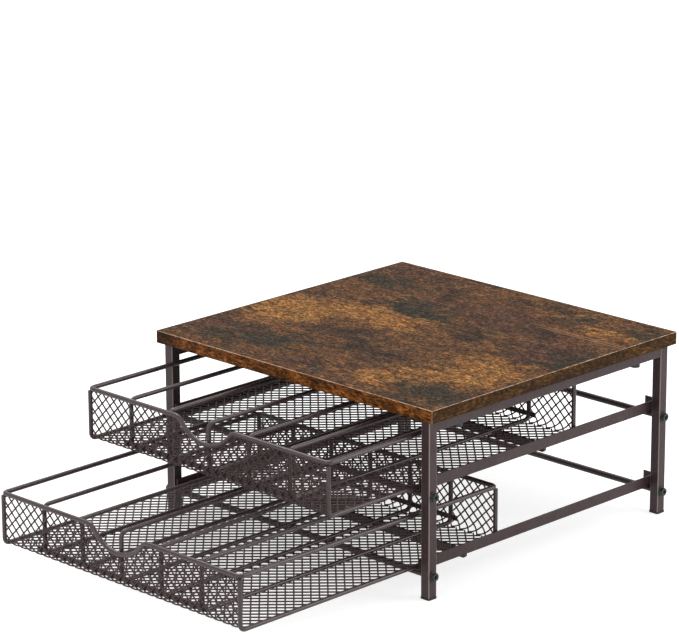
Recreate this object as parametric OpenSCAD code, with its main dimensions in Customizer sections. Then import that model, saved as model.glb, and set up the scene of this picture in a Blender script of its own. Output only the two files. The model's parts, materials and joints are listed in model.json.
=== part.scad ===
// Coffee pod drawer: a wood-topped steel stand with two sliding wire mesh drawers.
// Millimetres, +Z up, drawers pulled out towards -Y. The origin is on the floor, below the
// middle of the whole footprint as it stands with both drawers part-way open.

/* [Board] */
// Width of the top board, which sets the width of everything under it
board_w = 360; // [330:1:420]
// Depth of the top board, which sets the depth of the frame and the drawers
board_d = 340; // [300:1:400]
// Thickness of the top board
board_t = 12; // [10:0.5:18]
// Thickness of the edge banding round the board
band_t = 0.8; // [0.5:0.1:2]
// Height of the small bevel along the banding's upper edge
band_bevel = 0.6; // [0.3:0.1:1.5]

/* [Legs and top rails] */
// Outer width of the square tube
leg_size = 10.2; // [8:0.1:14]
// Wall of the square tube
leg_wall = 1; // [0.8:0.1:1.6]
// Outer corner radius of the square tube
leg_corner_r = 0.9; // [0.5:0.1:1.5]
// Distance from the board's side to the legs' outer faces
leg_inset_x = 7; // [2:0.5:20]
// Distance from the board's front and back to the legs
leg_inset_y = 4.25; // [2:0.05:20]
// Thickness of the foot under the tube
foot_t = 1.8; // [1:0.1:4]
// How far the foot stands out round the tube
foot_lip = 0.4; // [0.2:0.1:1.5]
// Depth of the foot's plug inside the tube
foot_plug_h = 8; // [4:1:15]
// Height of the top rails' tube, which is as wide as the legs
top_rail_h = 11.8; // [9:0.1:16]

/* [Crossbars and bolts] */
// Diameter of the four round crossbars
bar_d = 6; // [5.5:0.1:8]
// Height of the lower crossbars' centre lines over the floor
low_bar_z = 22.2; // [14:0.1:40]
// Nominal diameter of the frame bolts
bolt_d = 4; // [3:0.5:4]
// Diameter of the frame bolts' flanged heads
bolt_head_d = 9.8; // [7:0.1:11]
// Height of the frame bolts' heads
bolt_head_h = 4; // [2:0.1:5]
// Thickness of the flange round each bolt head
bolt_flange_t = 1; // [0.5:0.1:1.2]
// Width across flats of the hex sockets
hex_af = 3; // [2:0.5:4]
// Depth of the tapped holes in the crossbars' ends
tap_depth = 14; // [10:1:20]
// Nominal diameter of the board screws
screw_d = 4; // [3:0.5:5]
// Diameter of the board screws' heads
screw_head_d = 9.2; // [7:0.1:11]
// Height of the board screws' heads
screw_head_h = 3.4; // [2:0.1:5]
// How far the board screws reach into the board
screw_bite = 9; // [6:0.5:9]
// Distance of each board screw from the middle of the depth
screw_y = 123.5; // [60:0.5:130]

/* [Runner rails] */
// Thickness of the rails' sheet
rail_t = 1.2; // [0.8:0.1:2]
// Height of the rails' upright web
rail_web_h = 10.5; // [7:0.5:14]
// Height of the rails' bent-up rear ends
rail_stop_h = 12.1; // [8:0.1:16]
// Width of the flange that carries the drawer
rail_flange_w = 12.5; // [9:0.5:18]
// Gap between the legs and the rails
rail_leg_gap = 2.3; // [0.5:0.1:8]
// How far the rails' ends lie behind the outer faces of the legs
rail_end_inset = 0.95; // [0:0.05:5]

/* [Drawers] */
// Height of the rim wire over the bottom wires, centre to centre
drawer_h = 49.15; // [40:0.05:60]
// Diameter of the rim wire
rim_d = 4.5; // [3.5:0.1:6]
// Diameter of the side wires
side_wire_d = 4.2; // [3:0.1:5]
// Diameter of the divider wires
divider_d = 4.2; // [2.5:0.1:5]
// Thickness of the mesh sheet
mesh_t = 1; // [0.8:0.1:1.6]
// Sideways clearance between a drawer and its rails
side_gap = 1.05; // [0.5:0.05:2]
// Clearance under the wires that slide on the rails
run_gap = 0.3; // [0.2:0.05:0.6]
// Distance of a closed drawer's front wire behind the legs' outer faces
front_setback = 1.45; // [0:0.05:8]
// Free height between the lower rim and the upper crossbars
tier_headroom = 14.6; // [10:0.1:40]
// Free height between the upper rim and the top rails
top_headroom = 2.4; // [2:0.1:30]
// How far the upper drawer stands open
upper_open = 111.5; // [0:0.5:200]
// How far the lower drawer stands open
lower_open = 219.5; // [0:0.5:230]

/* [Drawer details] */
// Centre line radius of the rim wire's corners
rim_corner_r = 4.5; // [3:0.5:10]
// Centre line radius of the bends in the side wires, dividers and mesh
wire_bend_r = 5.5; // [4:0.5:12]
// Depth of the finger notch below the rim
notch_depth = 19; // [10:0.5:24]
// Radius of the round bottom of the finger notch
notch_r = 42; // [30:1:60]
// Radius of the shoulders where the rim turns down into the notch
notch_shoulder_r = 9; // [6:0.5:14]
// Height of the tie strips that join the dividers' feet
tie_w = 4.6; // [3:0.1:8]
// Thickness of the tie strips
tie_t = 1.2; // [0.8:0.1:1.6]
// How far the tie strips reach past the outer dividers
tie_overhang = 6; // [2:0.5:15]
// Thickness of the stop plate under the drawer
stop_t = 3; // [2:0.5:5]
// Distance of the stop plate from the drawer's back wire
stop_back = 42; // [20:1:60]
// Depth of the stop plate below the bottom wires' centre line
stop_drop = 8.85; // [6:0.05:10]

/* [Mesh openings] */
// Width of the diamonds in the front meshes
front_cell_w = 15.6; // [12:0.1:24]
// Height of the diamonds in the front meshes
front_cell_h = 15.8; // [12:0.1:24]
// Width of the diamonds in the rear meshes
rear_cell_w = 24; // [18:0.5:36]
// Height of the diamonds in the rear meshes
rear_cell_h = 24; // [18:0.5:36]
// Width of the diamonds in the floor meshes
floor_cell_w = 42; // [36:1:60]
// Depth of the diamonds in the floor meshes
floor_cell_d = 42; // [36:1:60]
// Width of the strands between the diamonds
strand_w = 1.6; // [1:0.1:2.5]
// Width of the plain border round each mesh
mesh_border = 2; // [1:0.1:4]

/* [Hidden] */

bronze = [0.31, 0.26, 0.26];
bolt_black = [0.10, 0.10, 0.11];
foot_black = [0.13, 0.12, 0.12];
board_brown = [0.36, 0.22, 0.13];
band_brown = [0.47, 0.28, 0.13];

// Number of lanes in each drawer, which the five dividers among the nodes make
lanes = 6;
// Overrun of cutting solids past the faces they cut
cut = 1;
// Radial clearance of a shank in its threaded or pilot hole
thread_gap = 0.05;
// Radial clearance of a shank in a clearance hole
hole_gap = 0.25;
// Clearance of a foot's plug inside its tube
plug_gap = 0.1;
// Clearance between a closed drawer's back wires and the rails' end stops
close_gap = 0.3;
// Clearance of the stop plate's ears under the rails and beside their flanges
ear_gap = 0.3;
flange_side_gap = 1;
// Distance from the ears' tips to the rails' webs
ear_tip_gap = 1.3;
// Cut of the ears' lower corners
ear_bevel = 1.8;
// Bevel round the flat tops of the bolt and screw heads
head_bevel = 0.5;
// How far the rim wire is swollen where two bends of the finger notch meet
bend_swell = 0.1;

// Places in the frame, measured from the middle of the board
leg_out_x = board_w / 2 - leg_inset_x;
leg_in_x = leg_out_x - leg_size;
leg_mid_x = leg_out_x - leg_size / 2;
leg_out_y = board_d / 2 - leg_inset_y;
leg_in_y = leg_out_y - leg_size;
leg_mid_y = leg_out_y - leg_size / 2;
rail_out_x = leg_in_x - rail_leg_gap;
rail_in_x = rail_out_x - rail_flange_w;
rail_end_y = leg_out_y - rail_end_inset;
stop_face_y = rail_end_y - rail_t;

// Drawer sizes that follow from the space between the rails
drawer_w = 2 * (rail_out_x - rail_t - side_gap) - rim_d;
drawer_back_y = stop_face_y - close_gap - rim_d / 2;
drawer_front_y = -leg_out_y + front_setback;
drawer_d = drawer_back_y - drawer_front_y;
lane_pitch = drawer_w / lanes;

// Heights, from the floor up
function flange_z(bar_z) = bar_z + bar_d / 2 + rail_t;
function run_z(bar_z) = flange_z(bar_z) + run_gap + side_wire_d / 2;
function rim_top_z(bar_z) = run_z(bar_z) + drawer_h + rim_d / 2;
up_bar_z = rim_top_z(low_bar_z) + tier_headroom + bar_d / 2;
top_rail_z = rim_top_z(up_bar_z) + top_headroom;
frame_h = top_rail_z + top_rail_h;

// The whole footprint runs from the lower drawer's front wire to the back of the board
footprint_front_y = min(drawer_front_y - lower_open, drawer_front_y - upper_open) - rim_d / 2;
frame_y = -(footprint_front_y + board_d / 2) / 2;

// Inside a drawer: y from the front wire, z from the bottom wires' centre line
divider_in = (rim_d + divider_d) / 2;
divider_low_z = (mesh_t + divider_d) / 2;
tie_z = wire_bend_r - mesh_t;
tie_half_w = (lanes / 2 - 1) * lane_pitch + tie_overhang;
stop_y = drawer_d - stop_back;
flange_low = side_wire_d / 2 + run_gap + rail_t;
mesh_half_w = (drawer_w - side_wire_d) / 2;
mesh_top = drawer_h - rim_d / 2;
notch_turn = acos((notch_r + notch_shoulder_r - notch_depth) / (notch_r + notch_shoulder_r));
notch_half_w = (notch_r + notch_shoulder_r) * sin(notch_turn);
arc_steps = 10;

$fn = 48;

// Everything in the frame is drawn round the middle of the board, then set back over the footprint
module stand() translate([0, frame_y, 0]) children();

// One drawer, pulled open by the given distance on the crossbars at the given height
module drawer_at(open, bar_z)
    stand() translate([0, drawer_front_y - open, run_z(bar_z)]) children();
module upper() drawer_at(upper_open, up_bar_z) children();
module lower() drawer_at(lower_open, low_bar_z) children();

module right_and_left(side) mirror([side < 0 ? 1 : 0, 0, 0]) children();
module rear_and_front(side) mirror([0, side < 0 ? 1 : 0, 0]) children();

// A round rod from one end to the other along X, Y or Z
module rod_x(d, x0, x1) translate([x0, 0, 0]) rotate([0, 90, 0]) cylinder(d = d, h = x1 - x0);
module rod_y(d, y0, y1) translate([0, y0, 0]) rotate([-90, 0, 0]) cylinder(d = d, h = y1 - y0);
module rod_z(d, z0, z1) translate([0, 0, z0]) cylinder(d = d, h = z1 - z0);

// A bend of round wire in the XY plane, round the origin, from angle a0 through turn degrees
module bend(d, r, a0, turn)
    rotate([0, 0, a0]) rotate_extrude(angle = turn) translate([r, 0]) circle(d = d);

// The same bend in the YZ plane, angles counted from +Y towards +Z
module bend_yz(d, r, a0, turn) rotate([90, 0, 90]) bend(d, r, a0, turn);
// The same bend in the XZ plane, angles counted from +X towards +Z
module bend_xz(d, r, a0, turn) rotate([90, 0, 0]) bend(d, r, a0, turn);

// A rectangle with rounded corners, and a tube's section made with it
module rounded_rectangle(w, h, r) {
    square([w - 2 * r, h], center = true);
    square([w, h - 2 * r], center = true);
    for (x = [-1, 1], y = [-1, 1]) translate([x * (w / 2 - r), y * (h / 2 - r)]) circle(r = r);
}
module tube_section(w, h) difference() {
    rounded_rectangle(w, h, leg_corner_r);
    square([w - 2 * leg_wall, h - 2 * leg_wall], center = true);
}

// The board's banded outline with its bevelled upper edge and corners
module bevelled_slab(w, d, t, b) intersection() {
    linear_extrude(t)
        polygon([[w / 2, b - d / 2], [w / 2, d / 2 - b], [w / 2 - b, d / 2], [b - w / 2, d / 2],
            [-w / 2, d / 2 - b], [-w / 2, b - d / 2], [b - w / 2, -d / 2], [w / 2 - b, -d / 2]]);
    rotate([90, 0, 0]) linear_extrude(d, center = true)
        polygon([[-w / 2, 0], [w / 2, 0], [w / 2, t - b], [w / 2 - b, t], [b - w / 2, t], [-w / 2, t - b]]);
    rotate([90, 0, 90]) linear_extrude(w, center = true)
        polygon([[-d / 2, 0], [d / 2, 0], [d / 2, t - b], [d / 2 - b, t], [b - d / 2, t], [-d / 2, t - b]]);
}
module board_core(extra) translate([0, 0, board_t / 2])
    cube([board_w - 2 * band_t, board_d - 2 * band_t, board_t + 2 * extra], center = true);

module at_board_screws() for (x = [-1, 1], y = [-1, 1])
    translate([x * leg_mid_x, y * screw_y, 0]) children();

module top_board() color(board_brown) stand() difference() {
    translate([0, 0, frame_h]) board_core(0);
    at_board_screws() rod_z(screw_d + 2 * thread_gap, frame_h - cut, frame_h + screw_bite + thread_gap);
}

module board_edge_band() color(band_brown) stand() translate([0, 0, frame_h]) difference() {
    bevelled_slab(board_w, board_d, board_t, band_bevel);
    board_core(cut);
}

// A leg at the right rear, with clearance holes for its two bolts
module leg(x_side, y_side)
    color(bronze) stand() right_and_left(x_side) rear_and_front(y_side) difference() {
        translate([leg_mid_x, leg_mid_y, foot_t]) linear_extrude(frame_h - foot_t)
            tube_section(leg_size, leg_size);
        for (z = [low_bar_z, up_bar_z]) translate([0, leg_mid_y, z])
            rod_x(bolt_d + 2 * hole_gap, leg_in_x - cut, leg_out_x + cut);
    }
module left_front_leg() leg(-1, -1);
module left_rear_leg() leg(-1, 1);
module right_front_leg() leg(1, -1);
module right_rear_leg() leg(1, 1);

// A top rail between the legs, with clearance holes for its two board screws
module top_rail(x_side) color(bronze) stand() right_and_left(x_side) difference() {
    translate([leg_mid_x, leg_in_y, top_rail_z + top_rail_h / 2]) rotate([90, 0, 0])
        linear_extrude(2 * leg_in_y) tube_section(leg_size, top_rail_h);
    at_board_screws() rod_z(screw_d + 2 * hole_gap, top_rail_z - cut, frame_h + cut);
}
module left_top_rail() top_rail(-1);
module right_top_rail() top_rail(1);

// A foot: a plate under the tube and a plug inside it
module foot(x_side, y_side)
    color(foot_black) stand() right_and_left(x_side) rear_and_front(y_side)
        translate([leg_mid_x, leg_mid_y, 0]) {
            linear_extrude(foot_t)
                rounded_rectangle(leg_size + 2 * foot_lip, leg_size + 2 * foot_lip, leg_corner_r + foot_lip);
            linear_extrude(foot_t + foot_plug_h)
                square(leg_size - 2 * (leg_wall + plug_gap), center = true);
        }
module left_front_foot() foot(-1, -1);
module left_rear_foot() foot(-1, 1);
module right_front_foot() foot(1, -1);
module right_rear_foot() foot(1, 1);

// A crossbar between a left and a right leg, tapped at both ends
module crossbar(y_side, bar_z)
    color(bronze) stand() translate([0, y_side * leg_mid_y, bar_z]) difference() {
        rod_x(bar_d, -leg_in_x, leg_in_x);
        for (side = [-1, 1]) right_and_left(side)
            rod_x(bolt_d + 2 * thread_gap, leg_in_x - tap_depth, leg_in_x + cut);
    }
module upper_front_crossbar() crossbar(-1, up_bar_z);
module upper_rear_crossbar() crossbar(1, up_bar_z);
module lower_front_crossbar() crossbar(-1, low_bar_z);
module lower_rear_crossbar() crossbar(1, low_bar_z);

// A runner rail: an angle on the two crossbars, its flange bent up at the back as a stop
module runner(x_side, bar_z)
    color(bronze) stand() right_and_left(x_side) translate([0, 0, bar_z + bar_d / 2]) {
        translate([rail_in_x, -rail_end_y, 0]) cube([rail_flange_w, 2 * rail_end_y, rail_t]);
        translate([rail_out_x - rail_t, -rail_end_y, 0]) cube([rail_t, 2 * rail_end_y, rail_web_h]);
        translate([rail_in_x, stop_face_y, 0]) cube([rail_flange_w, rail_t, rail_stop_h]);
    }
module upper_left_runner() runner(-1, up_bar_z);
module upper_right_runner() runner(1, up_bar_z);
module lower_left_runner() runner(-1, low_bar_z);
module lower_right_runner() runner(1, low_bar_z);

// A round head with a bevel round its flat top, standing on the XY plane
module head(d, h) rotate_extrude()
    polygon([[0, 0], [d / 2, 0], [d / 2, h - head_bevel], [d / 2 - head_bevel, h], [0, h]]);
// The hex socket in a head's top, open upwards from the given height
module hex_socket(z, h) translate([0, 0, z]) cylinder(d = hex_af / cos(30), h = h, $fn = 6);

// A frame bolt: flange, head with a hex socket, and shank, pointing down from the XY plane
module frame_bolt() difference() {
    union() {
        cylinder(d = bolt_head_d, h = bolt_flange_t);
        head(bolt_head_d - 2 * bolt_flange_t, bolt_head_h);
        rod_z(bolt_d, bolt_flange_t - leg_size - tap_depth, bolt_flange_t);
    }
    hex_socket(bolt_flange_t, bolt_head_h);
}
module frame_bolts(x_side) color(bolt_black) stand() right_and_left(x_side)
    for (y = [-1, 1], z = [low_bar_z, up_bar_z])
        translate([leg_out_x, y * leg_mid_y, z]) rotate([0, 90, 0]) frame_bolt();
module left_frame_bolts() frame_bolts(-1);
module right_frame_bolts() frame_bolts(1);

// The four screws that hold the board, heads under the top rails
module board_screws() color(bolt_black) stand() at_board_screws()
    translate([0, 0, top_rail_z]) rotate([180, 0, 0]) difference() {
        union() {
            head(screw_head_d, screw_head_h);
            rod_z(screw_d, -top_rail_h - screw_bite, cut);
        }
        hex_socket(screw_head_h / 2, screw_head_h);
    }

// The rim: four straight wires, four corners, and the finger notch in the front
module rim_wire() {
    x = drawer_w / 2;
    r = rim_corner_r;
    low_z = notch_r - notch_depth;
    color(bronze) translate([0, 0, drawer_h]) {
        for (side = [-1, 1]) right_and_left(side) {
            translate([x, 0, 0]) rod_y(rim_d, r, drawer_d - r);
            translate([x - r, r, 0]) bend(rim_d, r, -90, 90);
            translate([x - r, drawer_d - r, 0]) bend(rim_d, r, 0, 90);
            rod_x(rim_d, notch_half_w, x - r);
            translate([notch_half_w, 0, -notch_shoulder_r])
                bend_xz(rim_d, notch_shoulder_r, 90, notch_turn);
            translate([notch_r * sin(notch_turn), 0, low_z - notch_r * cos(notch_turn)])
                sphere(d = rim_d + 2 * bend_swell);
        }
        translate([0, 0, low_z]) bend_xz(rim_d, notch_r, -90 - notch_turn, 2 * notch_turn);
        translate([0, drawer_d, 0]) rod_x(rim_d, r - x, x - r);
    }
}

// A side wire: up the front corner, along the bottom and up the back corner
module side_wire(side) color(bronze) translate([side * drawer_w / 2, 0, 0]) {
    r = wire_bend_r;
    translate([0, r, 0]) rod_y(side_wire_d, 0, drawer_d - 2 * r);
    for (y = [0, drawer_d]) translate([0, y, 0]) rod_z(side_wire_d, r, mesh_top);
    translate([0, r, r]) bend_yz(side_wire_d, r, 180, 90);
    translate([0, drawer_d - r, r]) bend_yz(side_wire_d, r, 270, 90);
}

// A divider: one closed loop of wire between two lanes
module divider(n) color(bronze) translate([(n - lanes / 2) * lane_pitch, 0, 0]) {
    r = wire_bend_r;
    y0 = divider_in;
    y1 = drawer_d - divider_in;
    z0 = divider_low_z;
    z1 = drawer_h;
    for (z = [z0, z1]) translate([0, 0, z]) rod_y(divider_d, y0 + r, y1 - r);
    for (y = [y0, y1]) translate([0, y, 0]) rod_z(divider_d, z0 + r, z1 - r);
    translate([0, y0 + r, z1 - r]) bend_yz(divider_d, r, 90, 90);
    translate([0, y0 + r, z0 + r]) bend_yz(divider_d, r, 180, 90);
    translate([0, y1 - r, z0 + r]) bend_yz(divider_d, r, 270, 90);
    translate([0, y1 - r, z1 - r]) bend_yz(divider_d, r, 0, 90);
}

// Points along the right half of the notch, pushed down by the given offset
function notch_points(offset) = concat(
    [for (i = [0:arc_steps]) let (a = notch_turn * i / arc_steps)
        [(notch_r + offset) * sin(a), drawer_h - notch_depth + notch_r - (notch_r + offset) * cos(a)]],
    [for (i = [1:arc_steps]) let (a = notch_turn * (1 - i / arc_steps))
        [notch_half_w - (notch_shoulder_r - offset) * sin(a),
         drawer_h - notch_shoulder_r + (notch_shoulder_r - offset) * cos(a)]]);

// Everything above the notch, as an outline in the front mesh's own plane
module notch_outline(offset) for (side = [-1, 1]) right_and_left(side)
    polygon(concat([[-cut, drawer_h + cut]], [[-cut, drawer_h - notch_depth - offset]],
        notch_points(offset), [[notch_half_w, drawer_h + cut]]));

// Rows of diamonds over a rectangle that starts at its lower left corner, middle column at its centre
module diamonds(w, h, cell_w, cell_h) {
    cols = ceil(w / cell_w / 2) + 1;
    rows = ceil(h / cell_h) + 1;
    open_w = cell_w - strand_w * norm([cell_w, cell_h]) / cell_h;
    open_h = cell_h - strand_w * norm([cell_w, cell_h]) / cell_w;
    for (i = [-2 * cols:2 * cols], j = [0:2 * rows]) if ((i + j) % 2 == 0)
        translate([w / 2 + i * cell_w / 2, j * cell_h / 2])
            polygon([[-open_w / 2, 0], [0, -open_h / 2], [open_w / 2, 0], [0, open_h / 2]]);
}

// A rectangle of mesh: a plain border round rows of diamonds
module mesh_outline(w, h, cell_w, cell_h) difference() {
    square([w, h]);
    intersection() {
        translate([mesh_border, mesh_border]) square([w - 2 * mesh_border, h - 2 * mesh_border]);
        diamonds(w, h, cell_w, cell_h);
    }
}

// The quarter-round turn of mesh from an upright panel to the floor, along X
module mesh_turn() rotate([90, 0, 90]) linear_extrude(2 * mesh_half_w, center = true)
    translate([wire_bend_r, wire_bend_r]) intersection() {
        difference() {
            circle(r = wire_bend_r + mesh_t / 2);
            circle(r = wire_bend_r - mesh_t / 2);
        }
        translate([-2 * wire_bend_r, -2 * wire_bend_r]) square(2 * wire_bend_r);
    }

// An upright mesh panel over its turn, standing in the plane of the front wire
module upright_mesh(cell_w, cell_h) {
    h = mesh_top - wire_bend_r;
    mesh_turn();
    rotate([90, 0, 0]) linear_extrude(mesh_t, center = true) translate([-mesh_half_w, wire_bend_r])
        mesh_outline(2 * mesh_half_w, h, cell_w, cell_h);
}

// The front mesh, cut down round the finger notch with a plain border below it
module front_mesh() color(bronze) {
    h = mesh_top - wire_bend_r;
    mesh_turn();
    rotate([90, 0, 0]) linear_extrude(mesh_t, center = true) difference() {
        union() {
            translate([-mesh_half_w, wire_bend_r]) mesh_outline(2 * mesh_half_w, h, front_cell_w, front_cell_h);
            intersection() {
                translate([-mesh_half_w, wire_bend_r]) square([2 * mesh_half_w, h]);
                notch_outline(rim_d / 2 + mesh_border);
            }
        }
        notch_outline(rim_d / 2);
    }
}

module rear_mesh() color(bronze)
    translate([0, drawer_d, 0]) mirror([0, 1, 0]) upright_mesh(rear_cell_w, rear_cell_h);

module floor_mesh() color(bronze) {
    d = drawer_d - 2 * wire_bend_r;
    translate([-mesh_half_w, wire_bend_r, -mesh_t / 2]) linear_extrude(mesh_t)
        mesh_outline(2 * mesh_half_w, d, floor_cell_w, floor_cell_d);
}

// A tie strip across the dividers' feet, on the side of the mesh
module tie(back) color(bronze) translate([0, back ? drawer_d : 0, 0]) mirror([0, back ? 1 : 0, 0])
    translate([-tie_half_w, divider_in - divider_d / 2 - tie_t, tie_z])
        cube([2 * tie_half_w, tie_t, tie_w]);

// The stop plate: on edge under the floor mesh, with an ear under each rail's flange
module stop_plate() {
    x0 = rail_in_x - flange_side_gap;
    x1 = rail_out_x - rail_t - ear_tip_gap;
    color(bronze) translate([0, stop_y, 0]) rotate([90, 0, 0]) linear_extrude(stop_t, center = true)
        polygon([[-x1, ear_bevel - stop_drop], [ear_bevel - x1, -stop_drop],
            [x1 - ear_bevel, -stop_drop], [x1, ear_bevel - stop_drop], [x1, -flange_low - ear_gap],
            [x0, -flange_low - ear_gap], [x0, -mesh_t / 2], [-x0, -mesh_t / 2],
            [-x0, -flange_low - ear_gap], [-x1, -flange_low - ear_gap]]);
}

module upper_rim_wire() upper() rim_wire();
module upper_left_side_wire() upper() side_wire(-1);
module upper_right_side_wire() upper() side_wire(1);
module upper_front_mesh() upper() front_mesh();
module upper_floor_mesh() upper() floor_mesh();
module upper_rear_mesh() upper() rear_mesh();
module upper_divider_1() upper() divider(1);
module upper_divider_2() upper() divider(2);
module upper_divider_3() upper() divider(3);
module upper_divider_4() upper() divider(4);
module upper_divider_5() upper() divider(5);
module upper_front_tie() upper() tie(false);
module upper_rear_tie() upper() tie(true);
module upper_stop_plate() upper() stop_plate();

module lower_rim_wire() lower() rim_wire();
module lower_left_side_wire() lower() side_wire(-1);
module lower_right_side_wire() lower() side_wire(1);
module lower_front_mesh() lower() front_mesh();
module lower_floor_mesh() lower() floor_mesh();
module lower_rear_mesh() lower() rear_mesh();
module lower_divider_1() lower() divider(1);
module lower_divider_2() lower() divider(2);
module lower_divider_3() lower() divider(3);
module lower_divider_4() lower() divider(4);
module lower_divider_5() lower() divider(5);
module lower_front_tie() lower() tie(false);
module lower_rear_tie() lower() tie(true);
module lower_stop_plate() lower() stop_plate();

top_board();
board_edge_band();
left_front_leg();
left_rear_leg();
right_front_leg();
right_rear_leg();
left_top_rail();
right_top_rail();
left_front_foot();
left_rear_foot();
right_front_foot();
right_rear_foot();
upper_front_crossbar();
upper_rear_crossbar();
lower_front_crossbar();
lower_rear_crossbar();
upper_left_runner();
upper_right_runner();
lower_left_runner();
lower_right_runner();
left_frame_bolts();
right_frame_bolts();
board_screws();
upper_rim_wire();
upper_left_side_wire();
upper_right_side_wire();
upper_front_mesh();
upper_floor_mesh();
upper_rear_mesh();
upper_divider_1();
upper_divider_2();
upper_divider_3();
upper_divider_4();
upper_divider_5();
upper_front_tie();
upper_rear_tie();
upper_stop_plate();
lower_rim_wire();
lower_left_side_wire();
lower_right_side_wire();
lower_front_mesh();
lower_floor_mesh();
lower_rear_mesh();
lower_divider_1();
lower_divider_2();
lower_divider_3();
lower_divider_4();
lower_divider_5();
lower_front_tie();
lower_rear_tie();
lower_stop_plate();
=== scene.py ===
# %% [markdown]
# # A coffee pod drawer
# This lesson dresses a small kitchen stand: a board with a rustic wood print on a steel frame, and
# two wire drawers that slide out under it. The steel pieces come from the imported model, at their
# real size, and stay where they are. Blender adds what such a model leaves out: the real mesh of
# the drawers, the bolt heads, the welds, and the finish of every surface.
#
# Lengths are in metres. X runs to the right, the drawers open towards -Y, and Z is up. Blender
# starts with a cube, a lamp and a camera. They go first, or the cube would count as a part.

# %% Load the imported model
import json
import math

import bmesh
import bpy
from mathutils import Matrix, Vector

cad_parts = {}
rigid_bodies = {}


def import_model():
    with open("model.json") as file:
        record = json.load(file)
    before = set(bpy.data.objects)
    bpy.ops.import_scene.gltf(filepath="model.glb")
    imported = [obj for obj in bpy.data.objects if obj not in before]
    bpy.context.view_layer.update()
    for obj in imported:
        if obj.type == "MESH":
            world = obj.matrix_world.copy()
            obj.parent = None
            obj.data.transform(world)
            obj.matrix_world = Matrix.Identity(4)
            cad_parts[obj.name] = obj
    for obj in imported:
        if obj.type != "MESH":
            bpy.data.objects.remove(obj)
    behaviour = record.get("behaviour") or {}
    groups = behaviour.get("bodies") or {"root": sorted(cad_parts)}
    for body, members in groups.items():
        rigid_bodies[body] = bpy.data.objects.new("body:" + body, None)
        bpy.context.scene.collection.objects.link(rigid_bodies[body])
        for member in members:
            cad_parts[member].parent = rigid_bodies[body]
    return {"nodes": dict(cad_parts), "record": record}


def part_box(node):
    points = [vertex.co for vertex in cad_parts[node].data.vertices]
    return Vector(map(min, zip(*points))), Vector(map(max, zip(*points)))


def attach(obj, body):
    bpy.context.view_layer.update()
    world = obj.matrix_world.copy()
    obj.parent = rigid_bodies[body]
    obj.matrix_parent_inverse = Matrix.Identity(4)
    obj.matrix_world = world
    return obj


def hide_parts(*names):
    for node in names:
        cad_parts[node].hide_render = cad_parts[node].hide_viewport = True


for leftover in list(bpy.data.objects):
    bpy.data.objects.remove(leftover)
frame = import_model()
nodes = frame["nodes"]
bpy.context.view_layer.update()
MM = 0.001
TIERS = ("upper", "lower")

# %% [markdown]
# ## The camera
# The camera stands where the photographer stood, well back with a long lens, so that the board's
# edges stay almost parallel. A camera looks along its own -Z axis. Tilting it up about X from
# straight down, then turning it about the world's Z, gives the direction, and a small roll about
# its own axis levels the picture as the photograph is levelled.

# %% Place the camera
FRAME_WIDTH_PX = 679
FOCAL_PX = 3463.6
SENSOR_MM = 36.0
camera_place = Vector((2.16573, -2.18728, 1.12760))
camera_yaw = math.radians(44.658)
camera_pitch = math.radians(16.450)
camera_roll = math.radians(-0.223)

camera_data = bpy.data.cameras.new("camera")
camera_data.sensor_width = SENSOR_MM
camera_data.lens = FOCAL_PX / FRAME_WIDTH_PX * SENSOR_MM
camera_data.clip_start = 0.1
camera_data.clip_end = 50
camera = bpy.data.objects.new("camera", camera_data)
bpy.context.scene.collection.objects.link(camera)
turn = Matrix.Rotation(camera_yaw, 4, "Z")
tilt = Matrix.Rotation(math.radians(90) - camera_pitch, 4, "X")
roll = Matrix.Rotation(camera_roll, 4, "Z")
camera.matrix_world = Matrix.Translation(camera_place) @ turn @ tilt @ roll
bpy.context.scene.camera = camera
print("lens", round(camera_data.lens, 1), "mm")

# %% [markdown]
# ## Short calls for node trees
# Materials and Geometry Nodes are both trees of nodes, and a script builds them with the same two
# steps again and again: add a node, and connect its inputs. One small helper does both. An input
# may be a plain value or another node's output. Arithmetic gets short calls of its own.

# %% Add a node, and calculate with nodes
def add(tree, kind, inputs=None, **settings):
    """Adds a node, applies its settings, and fills or links its inputs."""
    node = tree.nodes.new(kind)
    for name, value in settings.items():
        setattr(node, name, value)
    for key, value in (inputs or {}).items():
        if isinstance(value, bpy.types.NodeSocket):
            tree.links.new(value, node.inputs[key])
        else:
            node.inputs[key].default_value = value
    return node


def calc(tree, operation, *values):
    """A Math node's output."""
    return add(tree, "ShaderNodeMath", dict(enumerate(values)), operation=operation).outputs[0]


def vector(tree, x, y, z):
    """Three numbers combined into a vector, or into a colour."""
    return add(tree, "ShaderNodeCombineXYZ", {0: x, 1: y, 2: z}).outputs[0]


def vector_calc(tree, operation, *values):
    """A Vector Math node's output."""
    node = add(tree, "ShaderNodeVectorMath", dict(enumerate(values)), operation=operation)
    return node.outputs["Value" if operation == "LENGTH" else 0]


def split(tree, value):
    """The X, Y and Z of a vector, as three outputs."""
    return add(tree, "ShaderNodeSeparateXYZ", {0: value}).outputs


# %% [markdown]
# ## Colours in layers
# A colour picked from a screen has to be made linear before a shader may use it. The colour of a
# worn or printed surface is then built up in layers: a ramp turns a pattern into colours or into
# plain factors, and each layer is mixed with the one below it, or multiplied on to it.

# %% Colours
def srgb(red, green, blue):
    """A colour as a screen shows it, 0 to 255, as the linear values that a shader works in."""
    def linear(v):
        v /= 255
        return v / 12.92 if v <= 0.04045 else ((v + 0.055) / 1.055) ** 2.4
    return (linear(red), linear(green), linear(blue))


def ramp(tree, value, stops):
    """A colour ramp's colour: stops are pairs of position and linear colour."""
    node = add(tree, "ShaderNodeValToRGB", {0: value})
    elements = node.color_ramp.elements
    while len(elements) < len(stops):
        elements.new(0.5)
    for element, (position, colour) in zip(elements, stops):
        element.position = position
        element.color = (*colour, 1)
    return node.outputs[0]


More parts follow.
